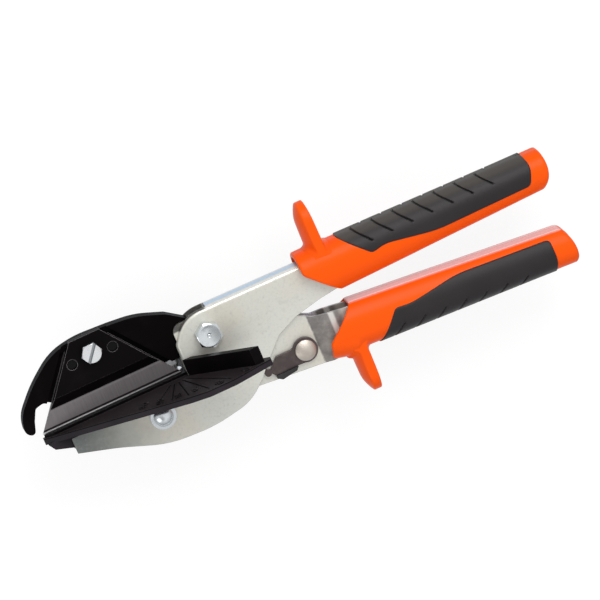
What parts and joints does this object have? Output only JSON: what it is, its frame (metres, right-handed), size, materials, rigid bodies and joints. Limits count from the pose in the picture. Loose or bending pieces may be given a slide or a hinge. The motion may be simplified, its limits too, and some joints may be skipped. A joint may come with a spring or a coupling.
{
  "type": "mitre shears",
  "caption": "Hand shears that cut trim at set angles: a blade in a hooked jaw closes on a V-fenced anvil, with latched orange grips and finger guards",
  "frame": {"origin": "The middle of the closed tool's bounding box. The main pivot is at x -39.1 mm, y 11.1 mm, and its axis is parallel to Z.", "axes": "+X runs from the jaws to the ends of the handles, +Y from the lower handle to the upper one, and +Z along the pivot, out of the side with the bolt's head."},
  "size_m": [0.2648, 0.0964, 0.076],
  "materials": {
    "zinc_sheet": "bright zinc plating, faintly mottled",
    "black_casting": "satin black coating",
    "blade_steel": "dark blade with ground bevels",
    "bright_fastener": "bright bluish zinc",
    "turned_steel": "turned bright",
    "spring_steel": "drawn wire",
    "nickel_rivet": "warm satin nickel",
    "dark_latch": "dark satin plating",
    "black_tab": "matt black",
    "orange_shell": "glossy orange",
    "soft_inlay": "satin dark grey"
  },
  "bodies": {
    "body": {"body_channel": "zinc_sheet", "anvil": "black_casting", "anvil_screw": "bright_fastener", "anvil_washers": "bright_fastener", "anvil_nut": "bright_fastener", "stop_screw": "bright_fastener", "stop_locknut": "bright_fastener", "pivot_bolt": "bright_fastener", "pivot_nut": "bright_fastener", "pivot_bush": "turned_steel", "upper_grip": "orange_shell", "upper_grip_inlay": "soft_inlay"},
    "lever": {"lever_channel": "zinc_sheet", "upper_jaw": "black_casting", "jaw_rivets": "bright_fastener", "blade": "blade_steel", "clamp_plate": "black_casting", "clamp_screw": "bright_fastener", "clamp_nut": "bright_fastener", "blade_pins": "black_casting", "opening_spring": "spring_steel", "spring_pin": "turned_steel", "latch_rivet": "nickel_rivet", "lower_grip": "orange_shell", "lower_grip_inlay": "soft_inlay"},
    "latch": {"latch": "dark_latch", "latch_thumb_tab": "black_tab"}
  },
  "joints": [
    {"name": "lever_hinge", "type": "hinge", "parent": "body", "child": "lever", "pos_m": [-0.03908, 0.01109, 0], "axis": [0, 0, -1], "range_deg": [0, 23]},
    {"name": "latch_hinge", "type": "hinge", "parent": "lever", "child": "latch", "pos_m": [-0.00098, -0.01561, 0], "axis": [0, 0, 1], "range_deg": [0, 35]}
  ],
  "couplings": [
    {"joint": "latch_hinge", "follows": "lever_hinge", "ratio": 1.25}
  ]
}
